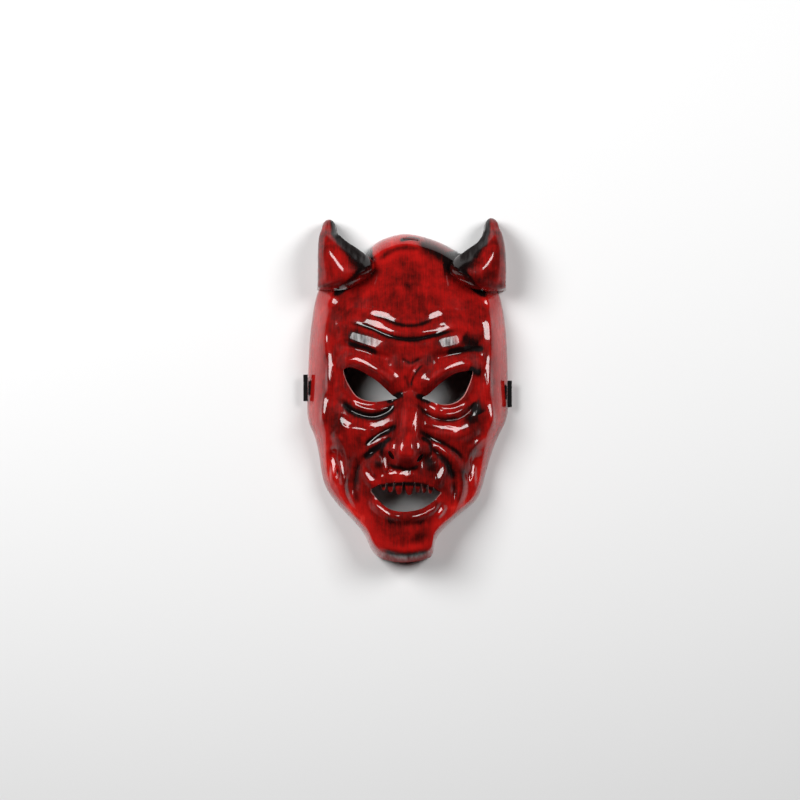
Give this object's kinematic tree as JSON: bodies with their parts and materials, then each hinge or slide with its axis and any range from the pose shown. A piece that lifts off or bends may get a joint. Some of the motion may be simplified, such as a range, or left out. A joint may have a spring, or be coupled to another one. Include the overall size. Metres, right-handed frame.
{
  "type": "demon mask",
  "caption": "Hollow moulded face mask with horns, pierced eyes, nostrils and toothed mouth, three punched slots and a flat elastic, lying face up on its rim.",
  "frame": {"origin": "middle of the mask's box on the rim plane, on the surface that the mask lies on", "axes": "+Z out of the face, +Y from the chin to the horns, +X to the viewer's right as one looks at the face"},
  "size_m": [0.1773, 0.2932, 0.08],
  "materials": {
    "painted_sheet": "glossy red hard PVC sheet with a dark brushed wash in the furrows",
    "knitted_elastic": "matt black knitted elastic"
  },
  "bodies": {
    "root": {"mask_shell": "painted_sheet", "elastic_strap": "knitted_elastic", "strap_end_left": "knitted_elastic", "strap_end_right": "knitted_elastic"}
  },
  "joints": []
}
